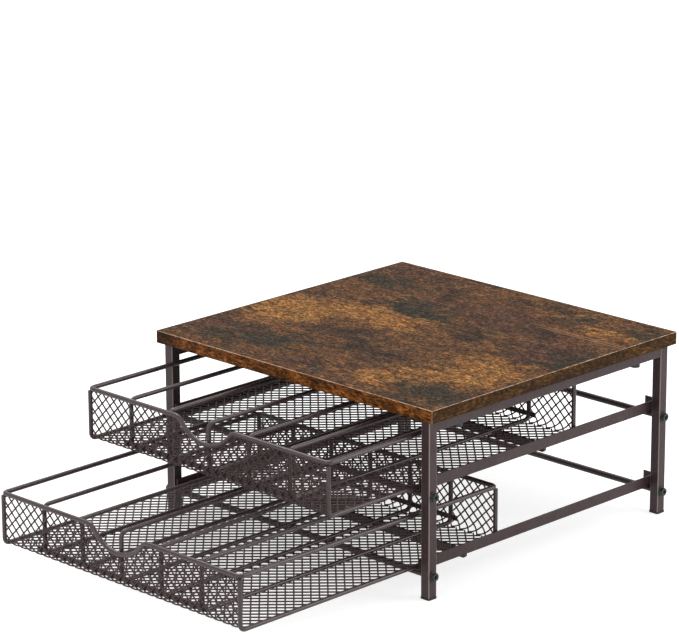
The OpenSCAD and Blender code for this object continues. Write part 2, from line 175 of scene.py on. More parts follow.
def strength_ramp(tree, value, stops):
    """A grey ramp of plain factors, for multiplying a colour."""
    return ramp(tree, value, [(position, (factor, factor, factor)) for position, factor in stops])


def mix(tree, factor, a, b, blend="MIX"):
    """A colour Mix node's output."""
    node = add(tree, "ShaderNodeMix", {0: factor}, data_type="RGBA", blend_type=blend)
    for key, value in ((6, a), (7, b)):
        if isinstance(value, bpy.types.NodeSocket):
            tree.links.new(value, node.inputs[key])
        else:
            node.inputs[key].default_value = (*value, 1)
    return node.outputs[2]


def multiplied(tree, colour, layer):
    """A colour with a layer multiplied on to it."""
    return mix(tree, 1.0, colour, layer, "MULTIPLY")


print("a screen's middle grey is", round(srgb(128, 128, 128)[0], 3), "in linear light")

# %% [markdown]
# ## Patterns at their real scale
# All patterns read the piece's own Object coordinates, which are metres. So a fibre of 2 mm stays
# 2 mm long on every piece, and the pattern moves with a drawer instead of sliding over it. Drawing
# the coordinates out along one axis turns round blobs of noise into streaks along that axis.

# %% Patterns
def between(tree, value, low, high, to_low=0.0, to_high=1.0):
    """A value carried smoothly from one range to another, and held at its ends."""
    node = add(tree, "ShaderNodeMapRange", {0: value, 1: low, 2: high, 3: to_low, 4: to_high},
               interpolation_type="SMOOTHSTEP")
    return node.outputs[0]


def noise(tree, where, size, detail=3.0, roughness=0.5, distortion=0.0):
    """Noise whose blobs are about size metres across, at the given coordinates."""
    node = add(tree, "ShaderNodeTexNoise", {"Vector": where, "Scale": 1 / size, "Detail": detail,
                                            "Roughness": roughness, "Distortion": distortion})
    return node.outputs[0]


def object_place(tree):
    """The place of the shaded point in the piece's own coordinates."""
    return add(tree, "ShaderNodeTexCoord").outputs["Object"]


def stretched(tree, stretch=(1, 1, 1), shift=(0, 0, 0)):
    """The piece's own coordinates, drawn out along each axis by the given factors."""
    scale = [1 / s for s in stretch]
    return add(tree, "ShaderNodeMapping",
               {"Vector": object_place(tree), "Location": shift, "Scale": scale}).outputs[0]


# %% A material, and its relief
def new_material(name, **surface):
    """A material with its tree and its Principled shader, whose plain inputs are set."""
    material = bpy.data.materials.new(name)
    material.use_nodes = True
    tree = material.node_tree
    shader = tree.nodes["Principled BSDF"]
    for key, value in surface.items():
        shader.inputs[key.replace("_", " ")].default_value = value
    return material, tree, shader


def bump(tree, shader, height, depth):
    """Raises and lowers a surface by depth metres as height goes from 0 to 1."""
    node = add(tree, "ShaderNodeBump", {"Strength": 1.0, "Distance": depth, "Height": height})
    tree.links.new(node.outputs[0], shader.inputs["Normal"])


# %% [markdown]
# ## Powder coat on steel
# The frame and the drawers are steel with a dark bronze powder coat. Powder melts in an oven into
# a skin with the soft dimples of orange peel. Two sizes of noise give that skin, one in the bump
# and a coarser one in the colour, and a slow one drifts the colour between red and grey. The small
# rounds of the square legs are painted paler than their faces, as a painted highlight.
# A round between two upright faces is known by its normal, which points between X and Y; on a flat
# face one of the two is zero. On the wires the coat flows smoother while it melts, so it is
# glossier and shows a bright line along each wire. The coat is therefore made three times: for the
# wires, for the square legs, and for the net, the rails and the crossbars.

# %% The bronze coat
def bronze_coat(name, shine, smoothest, roughest, painted_corner_highlight=0.0):
    """Powder coat: shine is the specular level, and the roughness drifts between two values."""
    material, tree, shader = new_material(name, Specular_IOR_Level=shine)
    here = stretched(tree)
    drift = noise(tree, here, size=30 * MM, detail=4)
    grains = noise(tree, here, size=2.8 * MM, detail=3, roughness=0.6)
    body = ramp(tree, drift, [(0.3, srgb(64, 46, 47)), (0.7, srgb(75, 59, 60))])
    colour = multiplied(tree, body, strength_ramp(tree, grains, [
        (0.30, 0.82), (0.50, 1.0), (0.70, 1.2)]))
    # Painted highlight: the rounds between two upright faces are painted a paler colour.
    normal = split(tree, add(tree, "ShaderNodeNewGeometry").outputs["Normal"])
    between_faces = calc(tree, "ABSOLUTE", calc(tree, "MULTIPLY", normal[0], normal[1]))
    painted_highlight = between(tree, between_faces, 0.08, 0.34, 0, painted_corner_highlight)
    colour = mix(tree, painted_highlight, colour, srgb(172, 157, 155))
    tree.links.new(colour, shader.inputs["Base Color"])
    patchy = noise(tree, here, size=6 * MM, detail=3)
    rough = between(tree, patchy, 0.3, 0.7, smoothest, roughest)
    tree.links.new(rough, shader.inputs["Roughness"])
    peel = noise(tree, here, size=1.6 * MM, detail=1.5)
    bump(tree, shader, peel, depth=0.07 * MM)
    return material


finishes = {"frame_metal": bronze_coat("bronze_powder_coat", 0.3, 0.36, 0.50)}
tube_coat = bronze_coat("bronze_powder_coat_on_tube", 0.3, 0.36, 0.50, painted_corner_highlight=0.95)
wire_coat = bronze_coat("bronze_powder_coat_on_wire", 0.5, 0.24, 0.34)
print("coats:", finishes["frame_metal"].name, tube_coat.name, wire_coat.name)

# %% [markdown]
# ## Printed wood
# The board is chipboard under a printed foil: a photograph of old, stained planks whose grain runs
# along X. A print shows one certain plank, so the large patches are placed one by one as on the
# real
# board: honey coloured, reddish and greenish black ones, each a soft spot whose outline is torn
# by noise. Where the board's print isn't seen, they go on in the same style.

# %% Where the large patches lie
# Each patch: the place of its middle, and its half sizes, in millimetres
HONEY = [
    ((-138, 75), (56, 56)), ((138, 50), (54, 48)), ((78, -24), (34, 22)),
    ((102, 12), (36, 22)), ((140, 226), (36, 10)), ((-60, 120), (70, 30))]
REDDISH = [
    ((0, -38), (66, 20)), ((132, 146), (48, 46)), ((20, 200), (80, 40)),
    ((-170, -8), (28, 32)), ((-150, 260), (50, 30))]
GREENISH = [
    ((-78, -4), (44, 34)), ((-136, -24), (32, 13)), ((146, -22), (52, 30)),
    ((168, 136), (26, 44)), ((88, 243), (24, 19)), ((172, 246), (18, 14)),
    ((14, -40), (26, 9)), ((-160, 53), (14, 10)), ((-40, 160), (60, 22)),
    ((-140, 215), (50, 26))]
print(len(HONEY), "honey patches,", len(REDDISH), "reddish,", len(GREENISH), "greenish")


# %% Patches with torn outlines
def torn_place(tree):
    """Places on the board, pushed about by noise, so that a round patch gets a torn outline."""
    warp = add(tree, "ShaderNodeTexNoise", {"Vector": stretched(tree, (2, 1, 1)), "Scale": 42,
                                            "Detail": 7.0, "Roughness": 0.74}).outputs["Color"]
    push = vector_calc(tree, "SUBTRACT", warp, (0.5, 0.5, 0.5))
    push = vector_calc(tree, "MULTIPLY", push, (0.19, 0.13, 0))
    return vector_calc(tree, "ADD", object_place(tree), push)


def patch(tree, where, centre, size):
    """A soft-edged spot on a level face, 1 in its middle and 0 outside, in millimetres."""
    away = vector_calc(tree, "SUBTRACT", where, (centre[0] * MM, centre[1] * MM, 0))
    per_size = (1 / (size[0] * MM), 1 / (size[1] * MM), 0)
    reach = vector_calc(tree, "LENGTH", vector_calc(tree, "MULTIPLY", away, per_size))
    return between(tree, reach, 0.45, 1.15, 1.0, 0.0)


def most(tree, values):
    """The largest of several values."""
    result = values[0]
    for value in values[1:]:
        result = calc(tree, "MAXIMUM", result, value)
    return result


def stained_planks(tree):
    """The print's broad colours: brown clouds, with the patches laid over them."""
    clouds = noise(tree, stretched(tree, (2, 1, 1), (0.31, 0.17, 0)), size=32 * MM, detail=6,
                   roughness=0.66, distortion=0.4)
    colour = ramp(tree, clouds, [
        (0.34, srgb(46, 33, 26)), (0.46, srgb(72, 51, 37)), (0.54, srgb(94, 65, 41)),
        (0.66, srgb(76, 51, 38))])
    where = torn_place(tree)
    for places, tint, weight in ((REDDISH, srgb(72, 49, 40), 0.8),
                                 (HONEY, srgb(133, 93, 52), 0.85),
                                 (GREENISH, srgb(43, 40, 32), 0.93)):
        spots = most(tree, [patch(tree, where, centre, size) for centre, size in places])
        colour = mix(tree, calc(tree, "MULTIPLY", spots, weight), colour, tint)
    return colour


# %% [markdown]
# Over the patches lies what repeats all over the board: mottling as wide as a finger, short dark
# and golden fibres, and thin lines along the grain. A pale double line, where two planks of the
# print meet, runs along X near the back. The foil's matt lacquer hardly mirrors anything, so its
# specular level is close to nothing.

# %% The board's print
SEAM_Y, SEAM_HALF_GAP = 201.5 * MM, 2.5 * MM
SEAM_WAVER = 0.8 * MM
SEAM_FADES_IN = 60 * MM, 100 * MM


def plank_seam(tree):
    """How strongly the seam's double line shows; it fades in towards the right."""
    place = split(tree, object_place(tree))
    sideways = noise(tree, stretched(tree, (6, 1, 1)), size=30 * MM, detail=2)
    waver = between(tree, sideways, 0.3, 0.7, -SEAM_WAVER, SEAM_WAVER)
    beside = calc(tree, "ADD", calc(tree, "SUBTRACT", place[1], SEAM_Y), waver)
    from_line = calc(tree, "SUBTRACT", calc(tree, "ABSOLUTE", beside), SEAM_HALF_GAP)
    double = between(tree, calc(tree, "ABSOLUTE", from_line), 0.4 * MM, 1.3 * MM, 1, 0)
    return calc(tree, "MULTIPLY", double, between(tree, place[0], *SEAM_FADES_IN, 0, 0.75))


def wood_print():
    """The foil: stained planks under mottling, tinge, fibres, lines and the seam."""
    material, tree, shader = new_material("rustic_wood_print", Specular_IOR_Level=0.03)
    colour = stained_planks(tree)
    mottling = noise(tree, stretched(tree, (1.2, 1, 1)), size=9 * MM, detail=4, roughness=0.6)
    colour = multiplied(tree, colour, strength_ramp(tree, mottling, [
        (0.34, 0.64), (0.50, 0.98), (0.66, 1.34)]))
    tinge = noise(tree, stretched(tree, (1.2, 1, 1), (0.7, 0.2, 0)), size=12 * MM, detail=4,
                  roughness=0.65)
    colour = multiplied(tree, colour, ramp(tree, tinge, [
        (0.36, (0.91, 1.05, 1.05)), (0.50, (1.0, 1.0, 1.0)), (0.64, (1.09, 0.98, 0.90))]))
    fibres = noise(tree, stretched(tree, (1.7, 1, 1)), size=2.1 * MM, detail=4, roughness=0.8)
    colour = multiplied(tree, colour, ramp(tree, fibres, [
        (0.37, (0.12, 0.11, 0.10)), (0.46, (0.66, 0.64, 0.60)), (0.54, (1.16, 1.12, 1.04)),
        (0.63, (2.9, 2.7, 2.2))]))
    lines = noise(tree, stretched(tree, (9, 1, 1)), size=3.2 * MM, detail=3, roughness=0.6)
    colour = multiplied(tree, colour, strength_ramp(tree, lines, [
        (0.34, 0.66), (0.46, 0.98), (0.70, 1.2)]))
    colour = mix(tree, plank_seam(tree), colour, srgb(146, 104, 74))
    tree.links.new(colour, shader.inputs["Base Color"])
    tree.links.new(between(tree, fibres, 0.3, 0.7, 0.60, 0.48), shader.inputs["Roughness"])
    bump(tree, shader, lines, depth=0.05 * MM)
    return material


finishes["board_top"] = wood_print()
print("print:", len(finishes["board_top"].node_tree.nodes), "nodes")

# %% [markdown]
# ## Edge banding
# Strips of a similar foil are glued round the board's edge: golden at the front and back, and
# darker at the sides and at the front's left end. Their grain runs along each edge, so the pattern
# is drawn out along X and Y. Where the strips' corners are trimmed, a thin pale line is painted:
# the pale core of the foil, and with it a painted highlight along each corner. Of a point's
# distances to a side, to the front or back and to the top, the second smallest says how near a
# corner it is.

# %% The pale core and painted highlight at the trimmed corners
PALE_LINE_FULL, PALE_LINE_GONE, PALE_LINE_WAVER = 0.36 * MM, 0.56 * MM, 0.1 * MM
SIDE_BAND_T = 0.9 * MM


def pale_core(tree, to_side, to_front, to_top):
    """The pale line of core and painted highlight: 1 within a hair of a corner, and 0 further away.
    """
    upright_corner = calc(tree, "MAXIMUM", to_side, to_front)
    top_corner = calc(tree, "MAXIMUM", calc(tree, "MINIMUM", to_side, to_front), to_top)
    from_corner = calc(tree, "MINIMUM", upright_corner, top_corner)
    ragged = noise(tree, stretched(tree), size=4 * MM)
    waver = between(tree, ragged, 0.3, 0.7, -PALE_LINE_WAVER, PALE_LINE_WAVER)
    edge = calc(tree, "ADD", from_corner, waver)
    return between(tree, edge, PALE_LINE_FULL, PALE_LINE_GONE, 1, 0)


# %% The banding's material
def edge_banding(low, high):
    """Golden in front and behind, dark at the sides, with grain along the edges."""
    material, tree, shader = new_material("edge_banding", Specular_IOR_Level=0.08)
    place = split(tree, object_place(tree))
    centre, half = (low + high) / 2, (high - low) / 2
    to_side = calc(tree, "SUBTRACT", half.x, calc(tree, "ABSOLUTE", place[0]))
    from_middle = calc(tree, "ABSOLUTE", calc(tree, "SUBTRACT", place[1], centre.y))
    to_front = calc(tree, "SUBTRACT", half.y, from_middle)
    to_top = calc(tree, "SUBTRACT", high.z, place[2])

    broad = noise(tree, stretched(tree, (1, 1, 0.35)), size=40 * MM)
    golden = ramp(tree, broad, [(0.32, srgb(108, 66, 34)), (0.66, srgb(148, 93, 44))])
    stained = between(tree, place[0], -half.x + 4 * MM, -half.x + 62 * MM, 0.22, 1.0)
    golden = multiplied(tree, golden, stained)
    dark = ramp(tree, broad, [(0.32, srgb(54, 35, 15)), (0.66, srgb(84, 57, 27))])
    colour = mix(tree, calc(tree, "LESS_THAN", to_side, SIDE_BAND_T), golden, dark)
    blotches = noise(tree, stretched(tree, (1.6, 1.6, 1), (0.4, 0, 0)), size=9 * MM, detail=4,
                     roughness=0.65)
    colour = multiplied(tree, colour, strength_ramp(tree, blotches, [
        (0.35, 0.5), (0.50, 1.0), (0.66, 1.25)]))
    streaks = noise(tree, stretched(tree, (2.8, 2.8, 1)), size=1.9 * MM, detail=4, roughness=0.8)
    colour = multiplied(tree, colour, ramp(tree, streaks, [
        (0.37, (0.14, 0.11, 0.08)), (0.46, (0.68, 0.64, 0.58)), (0.54, (1.18, 1.14, 1.04)),
        (0.63, (2.7, 2.4, 1.8))]))
    # The banding is darker towards its lower edge.
    darker_foot = between(tree, place[2], low.z, low.z + 2.2 * MM, 0.7, 1.0)
    colour = multiplied(tree, colour, darker_foot)
    # Painted highlight with the foil's pale core: a pale line along every trimmed corner.
    core_and_highlight = pale_core(tree, to_side, to_front, to_top)
    colour = mix(tree, core_and_highlight, colour, srgb(212, 180, 154))
    tree.links.new(colour, shader.inputs["Base Color"])
    shader.inputs["Roughness"].default_value = 0.5
    bump(tree, shader, streaks, depth=0.05 * MM)
    return material


finishes["edge_band"] = edge_banding(*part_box("board_edge_band"))
print("banding:", len(finishes["edge_band"].node_tree.nodes), "nodes")

# %% [markdown]
# ## Bolts and feet
# The bolts are black oxide steel: a dark grey, with a soft metallic shine that is a little
# patchy. The feet are moulded plastic with a fine spark-eroded texture. One or two noises each
# are enough, because only small bits of them show.

# %% Black oxide and black plastic
def black_oxide():
    """Dark steel that has been worn a little by handling."""
    material, tree, shader = new_material("black_oxide", Metallic=0.6)
    here = stretched(tree)
    wear = noise(tree, here, size=3 * MM)
    colour = ramp(tree, wear, [(0.35, srgb(41, 41, 43)), (0.65, srgb(66, 67, 69))])
    tree.links.new(colour, shader.inputs["Base Color"])
    tree.links.new(between(tree, wear, 0.3, 0.7, 0.34, 0.5), shader.inputs["Roughness"])
    bump(tree, shader, noise(tree, here, size=0.5 * MM, detail=1), depth=0.02 * MM)
    return material


def foot_plastic():
    """Black plastic with the fine texture of its mould."""
    material, tree, shader = new_material("black_foot_plastic", Specular_IOR_Level=0.4)
    here = stretched(tree)
    spark = noise(tree, here, size=0.6 * MM, detail=2)
    colour = ramp(tree, spark, [(0.3, srgb(34, 31, 31)), (0.7, srgb(48, 44, 44))])
    tree.links.new(colour, shader.inputs["Base Color"])
    shader.inputs["Roughness"].default_value = 0.6
    bump(tree, shader, spark, depth=0.04 * MM)
    return material


finishes["bolt_black"] = black_oxide()
finishes["foot_plastic"] = foot_plastic()
print("finishes:", ", ".join(m.name for m in finishes.values()))

# %% [markdown]
# ## Dressing the imported pieces
# The record says which material slot each piece belongs to. Tubes, rails, wires and the board are
# already the right shape, so they only change their material. The legs get the coat with a painted
# highlight on their corners, and the wires the glossier one.

# %% Give every imported piece its finish
slot_of = {part["node"]: part["material_slot"] for part in frame["record"]["subparts"]}
for name, piece in nodes.items():
    coat = finishes[slot_of[name]]
    if name.endswith("_leg"):
        coat = tube_coat
    elif name.endswith("_wire") or "divider" in name:
        coat = wire_coat
    for holder in piece.material_slots:
        holder.material = coat
print("dressed", len(nodes), "pieces")

# %% [markdown]
# ## Turning trees into meshes
# Geometry Nodes are a recipe. The export keeps meshes and drops recipes, so each tree is run once
# and its result becomes a plain mesh. A tree's inputs are set by their identifiers, which its
# interface lists.

# %% Open and close a Geometry Nodes tree
def new_tree(name, inputs):
    """A Geometry Nodes tree with named inputs, and the sockets that give their values inside it."""
    tree = bpy.data.node_groups.new(name, "GeometryNodeTree")
    kinds = {float: "NodeSocketFloat", int: "NodeSocketInt", Vector: "NodeSocketVector",
             bpy.types.Object: "NodeSocketObject", bpy.types.Material: "NodeSocketMaterial"}
    tree.interface.new_socket("Geometry", in_out="INPUT", socket_type="NodeSocketGeometry")
    for key, kind in inputs.items():
        tree.interface.new_socket(key, in_out="INPUT", socket_type=kinds[kind])
    tree.interface.new_socket("Geometry", in_out="OUTPUT", socket_type="NodeSocketGeometry")
    return tree, tree.nodes.new("NodeGroupInput").outputs


def close_tree(tree, geometry, material):
    """Ends a tree: real copies, smooth faces, a material, and the output."""
    real = add(tree, "GeometryNodeRealizeInstances", {0: geometry}).outputs[0]
    smooth = add(tree, "GeometryNodeSetShadeSmooth", {0: real}).outputs[0]
    painted = add(tree, "GeometryNodeSetMaterial", {0: smooth, "Material": material}).outputs[0]
    add(tree, "NodeGroupOutput", {0: painted})


def moved(tree, points, places):
    """Points moved to the given places."""
    return add(tree, "GeometryNodeSetPosition", {0: points, "Position": places}).outputs[0]


def is_over(tree, value, limit):
    """True where a value is greater than a limit."""
    node = add(tree, "FunctionNodeCompare", {0: value, 1: limit}, operation="GREATER_THAN")
    return node.outputs[0]


# %% Run a tree and keep the result
def link_object(name, mesh):
    """A new object in the scene, at the origin."""
    piece = bpy.data.objects.new(name, mesh)
    bpy.context.scene.collection.objects.link(piece)
    return piece


def grow(name, tree, values, start=None):
    """Runs a tree on a piece with the given inputs and returns the result as a plain mesh piece."""
    piece = link_object(name, start or bpy.data.meshes.new(name))
    modifier = piece.modifiers.new("recipe", "NODES")
    modifier.node_group = tree
    for item in tree.interface.items_tree:
        if item.in_out == "INPUT" and item.name in values:
            modifier[item.identifier] = values[item.name]
    bpy.context.view_layer.update()
    evaluated = piece.evaluated_get(bpy.context.evaluated_depsgraph_get())
    result = bpy.data.meshes.new_from_object(evaluated)
    result.name = name
    piece.modifiers.remove(modifier)
    piece.data = result
    return piece


def finish_piece(piece, body, slot, *replaced):
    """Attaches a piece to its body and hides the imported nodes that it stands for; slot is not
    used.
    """
    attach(piece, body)
    if replaced:
        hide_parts(*replaced)
    print(piece.name, len(piece.data.polygons), "faces on", body)


# %% [markdown]
# ## One family of strands
# The drawers' mesh is made of straight strands that cross in two directions, fused where they
# meet. One direction is one family of parallel lines, at one angle and one spacing. Each line is
# clipped to the sheet by arithmetic: a line that starts on the sheet's lower edge reaches the sides
# and the upper edge at known distances, and it runs from the largest of the lower limits to the
# smallest of the upper ones. The line itself is a copy of one unit line, turned and stretched.

# %% The strands of one direction, on a flat sheet
SHORTEST_STRAND = 1 * MM


def strand_family(tree, width, length, angle, spacing, steps):
    """Edges along one direction over a sheet: u from -width/2 to width/2, v from 0 to length."""
    sine, cosine = calc(tree, "SINE", angle), calc(tree, "COSINE", angle)
    pitch = calc(tree, "DIVIDE", spacing, sine)
    sideways = calc(tree, "DIVIDE", calc(tree, "MULTIPLY", length, cosine), sine)
    lean = calc(tree, "ABSOLUTE", sideways)
    half_width = calc(tree, "MULTIPLY", width, 0.5)
    reach = calc(tree, "ADD", half_width, lean)
    half_count = calc(tree, "CEIL", calc(tree, "DIVIDE", reach, pitch))
    count = calc(tree, "ADD", calc(tree, "MULTIPLY", half_count, 2), 1)
    number = add(tree, "GeometryNodeInputIndex").outputs[0]
    foot = calc(tree, "MULTIPLY", calc(tree, "SUBTRACT", number, half_count), pitch)
    left_side = calc(tree, "MULTIPLY", half_width, -1)
    to_left = calc(tree, "DIVIDE", calc(tree, "SUBTRACT", left_side, foot), cosine)
    to_right = calc(tree, "DIVIDE", calc(tree, "SUBTRACT", half_width, foot), cosine)
    start = calc(tree, "MAXIMUM", calc(tree, "MINIMUM", to_left, to_right), 0)
    to_far_edge = calc(tree, "DIVIDE", length, sine)
    end = calc(tree, "MINIMUM", calc(tree, "MAXIMUM", to_left, to_right), to_far_edge)
    span = calc(tree, "SUBTRACT", end, start)
    x = calc(tree, "ADD", foot, calc(tree, "MULTIPLY", start, cosine))
    y = calc(tree, "MULTIPLY", start, sine)
    row = add(tree, "GeometryNodeMeshLine", {"Count": count}).outputs[0]
    placed = moved(tree, row, vector(tree, x, y, 0))
    unit = add(tree, "GeometryNodeMeshLine", {"Count": steps, "Offset": (1, 0, 0)},
               mode="END_POINTS").outputs[0]
    long_enough = is_over(tree, span, SHORTEST_STRAND)
    return add(tree, "GeometryNodeInstanceOnPoints", {
        "Points": placed, "Selection": long_enough, "Instance": unit,
        "Rotation": vector(tree, 0, 0, angle), "Scale": vector(tree, span, 1, 1)}).outputs[0]


# %% [markdown]
# ## Knots where strands cross
# Where two strands cross, the coat has run into the four sharp corners and rounded them. A small
# ball on each crossing, a little thicker than a strand, gives that knot. The crossings of two
# families of lines are a slanted grid: a step along one direction for each column, and along the
# other for each row.

# %% The crossings of two directions
def crossings(tree, width, length, angles, spacings):
    """Points where the two families cross, inside the sheet."""
    across = calc(tree, "SINE", calc(tree, "SUBTRACT", angles[1], angles[0]))
    steps = [calc(tree, "DIVIDE", spacings[1], across), calc(tree, "DIVIDE", spacings[0], across)]
    reach = calc(tree, "ADD", width, length)
    small = calc(tree, "MINIMUM", steps[0], steps[1])
    side = calc(tree, "CEIL", calc(tree, "DIVIDE", calc(tree, "MULTIPLY", reach, 2), small))
    number = add(tree, "GeometryNodeInputIndex").outputs[0]
    half = calc(tree, "FLOOR", calc(tree, "MULTIPLY", side, 0.5))
    column = calc(tree, "SUBTRACT", calc(tree, "FLOOR", calc(tree, "DIVIDE", number, side)), half)
    row = calc(tree, "SUBTRACT", calc(tree, "MODULO", number, side), half)
    place = []
    for turn_of in ("COSINE", "SINE"):
        parts = []
        for how_many, step, angle in ((column, steps[0], angles[0]), (row, steps[1], angles[1])):
            one = calc(tree, "MULTIPLY", step, calc(tree, turn_of, angle))
            parts.append(calc(tree, "MULTIPLY", how_many, one))
        place.append(calc(tree, "ADD", *parts))
    total = calc(tree, "MULTIPLY", side, side)
    points = add(tree, "GeometryNodeMeshLine", {"Count": total}).outputs[0]
    placed = moved(tree, points, vector(tree, place[0], place[1], 0))
    half_width = calc(tree, "MULTIPLY", width, 0.5)
    past_side = calc(tree, "SUBTRACT", calc(tree, "ABSOLUTE", place[0]), half_width)
    before_start = calc(tree, "MULTIPLY", place[1], -1)
    past_end = calc(tree, "SUBTRACT", place[1], length)
    outside = calc(tree, "MAXIMUM", past_side, calc(tree, "MAXIMUM", before_start, past_end))
    off_sheet = is_over(tree, outside, 0.0)
    return add(tree, "GeometryNodeDeleteGeometry", {0: placed, 1: off_sheet}).outputs[0]


# %% [markdown]
# ## Bending and notching the sheet
# The real sheet is cut flat, with a dip for the finger notch, and bent: it hangs from the rim wire,
# turns through a quarter circle at the bottom and runs on under the drawer. Both steps are done on
# the flat pattern here too. The points in the notch are deleted: those inside the big circle of
# its round bottom, and those between its two shoulders and outside their small circles. Then every
# point moves to its place on the bent sheet. For the floor, a drop and a bend of no size leave the
# sheet flat.

# %% Cut the notch
def distance(tree, x, y, centre_x, centre_y):
    """How far a point of the flat sheet is from a circle's centre."""
    dx, dy = calc(tree, "SUBTRACT", x, centre_x), calc(tree, "SUBTRACT", y, centre_y)
    squares = calc(tree, "ADD", calc(tree, "MULTIPLY", dx, dx), calc(tree, "MULTIPLY", dy, dy))
    return calc(tree, "SQRT", squares)


def without_notch(tree, given, geometry):
    """Deletes a flat sheet's points in the notch."""
    flat = split(tree, add(tree, "GeometryNodeInputPosition").outputs[0])
    aside = calc(tree, "ABSOLUTE", flat[0])
    height = calc(tree, "SUBTRACT", given["Rim line"], flat[1])
    to_round = distance(tree, aside, height, 0, given["Notch rise"])
    in_round = calc(tree, "LESS_THAN", to_round, given["Notch radius"])
    shoulder_y = calc(tree, "MULTIPLY", given["Shoulder radius"], -1)
    to_shoulder = distance(tree, aside, height, given["Shoulder x"], shoulder_y)
    past_shoulder = calc(tree, "GREATER_THAN", to_shoulder, given["Shoulder radius"])
    inside_x = calc(tree, "LESS_THAN", aside, given["Shoulder x"])
    over_joint = calc(tree, "GREATER_THAN", height, given["Joint height"])
    between_shoulders = calc(tree, "MULTIPLY", inside_x, over_joint)
    in_shoulders = calc(tree, "MULTIPLY", past_shoulder, between_shoulders)
    gone = calc(tree, "MAXIMUM", in_round, in_shoulders)
    return add(tree, "GeometryNodeDeleteGeometry", {0: geometry, 1: gone}).outputs[0]


# %% Bend the sheet round the bottom
def bent(tree, given, geometry):
    """Moves a flat sheet's points to their places on the bent sheet."""
    flat = split(tree, add(tree, "GeometryNodeInputPosition").outputs[0])
    radius, drop = given["Bend radius"], given["Drop"]
    past = calc(tree, "SUBTRACT", flat[1], drop)
    quarter = calc(tree, "MULTIPLY", radius, math.pi / 2)
    turned = calc(tree, "DIVIDE", past, radius)
    angle = add(tree, "ShaderNodeClamp", {0: turned, 2: math.pi / 2}).outputs[0]
    inwards = calc(tree, "SUBTRACT", 1, calc(tree, "COSINE", angle))
    run_on = calc(tree, "MAXIMUM", calc(tree, "SUBTRACT", past, quarter), 0)
    back = calc(tree, "ADD", calc(tree, "MULTIPLY", radius, inwards), run_on)
    hang = calc(tree, "SUBTRACT", drop, calc(tree, "MINIMUM", flat[1], drop))
    upwards = calc(tree, "SUBTRACT", 1, calc(tree, "SINE", angle))
    up = calc(tree, "ADD", hang, calc(tree, "MULTIPLY", radius, upwards))
    place = vector(tree, flat[0], calc(tree, "MULTIPLY", back, given["Facing"]), up)
    return moved(tree, geometry, vector_calc(tree, "ADD", place, given["Origin"]))


# %% [markdown]
# ## The recipe for one sheet
# The strands are realized and bent as bare edges, and only then given a thickness, so that a strand
# is as thick in the bend as on the flat. Six sides are enough for so thin a tube. The knots are
# points, cut and bent in the same way, that carry a small ball.

# %% A sheet of mesh
SHEET_SIZES = (
    "Width", "Length", "First angle", "Second angle", "First spacing", "Second spacing", "Drop",
    "Bend radius", "Rim line", "Notch radius", "Notch rise", "Shoulder radius", "Shoulder x",
    "Joint height", "Strand", "Knot", "Facing")


def mesh_sheet_tree():
    """Strands and knots of one sheet, cut, bent and given a thickness."""
    inputs = {**dict.fromkeys(SHEET_SIZES, float), "Steps": int, "Origin": Vector,
              "Finish": bpy.types.Material}
    tree, given = new_tree("wire mesh sheet", inputs)
    width, length = given["Width"], given["Length"]
    angles = given["First angle"], given["Second angle"]
    spacings = given["First spacing"], given["Second spacing"]
    both = tree.nodes.new("GeometryNodeJoinGeometry")
    for angle, spacing in zip(angles, spacings):
        family = strand_family(tree, width, length, angle, spacing, given["Steps"])
        real = add(tree, "GeometryNodeRealizeInstances", {0: family}).outputs[0]
        tree.links.new(real, both.inputs[0])
    lines = bent(tree, given, without_notch(tree, given, both.outputs[0]))
    curves = add(tree, "GeometryNodeMeshToCurve", {0: lines}).outputs[0]
    strand_r = calc(tree, "MULTIPLY", given["Strand"], 0.5)
    section = add(tree, "GeometryNodeCurvePrimitiveCircle",
                  {"Resolution": 6, "Radius": strand_r}).outputs[0]
    strands = add(tree, "GeometryNodeCurveToMesh",
                  {"Curve": curves, "Profile Curve": section, "Fill Caps": True}).outputs[0]
    crossed = crossings(tree, width, length, angles, spacings)
    spots = bent(tree, given, without_notch(tree, given, crossed))
    knot_r = calc(tree, "MULTIPLY", given["Knot"], 0.5)
    ball = add(tree, "GeometryNodeMeshUVSphere",
               {"Segments": 8, "Rings": 4, "Radius": knot_r}).outputs[0]
    knots = add(tree, "GeometryNodeInstanceOnPoints",
                {"Points": spots, "Instance": ball}).outputs[0]
    sheet = tree.nodes.new("GeometryNodeJoinGeometry")
    tree.links.new(strands, sheet.inputs[0])
    tree.links.new(knots, sheet.inputs[0])
    close_tree(tree, sheet.outputs[0], given["Finish"])
    return tree


sheet_tree = mesh_sheet_tree()
print("sheet recipe:", len(sheet_tree.nodes), "nodes")

# %% [markdown]
# ## The mesh of the two drawers
# Each drawer has three sheets: one in front, one behind and one for the floor. They come from one
# roll, with openings a hair wider than tall, so one pair of directions serves them all. The front
# sheet's flat length is five openings. The floor's first row of knots then falls on the front's
# last one, and the net looks unbroken round the bend. A sheet is a little wider than the gap
# between the side wires, so that its ends are fused into them.

# %% The sizes of the net and of the drawers' wires
OPENING_WIDE, OPENING_TALL = 10.72 * MM, 10.6 * MM
STRAND_D, KNOT_D = 1.5 * MM, 2.05 * MM
INTO_SIDE_WIRES = 0.4
OPENINGS_UP_AND_ROUND = 5
RIM_D, SIDE_WIRE_D, WIRE_DROP, BEND = 4.5 * MM, 4.2 * MM, 49.15 * MM, 5.5 * MM

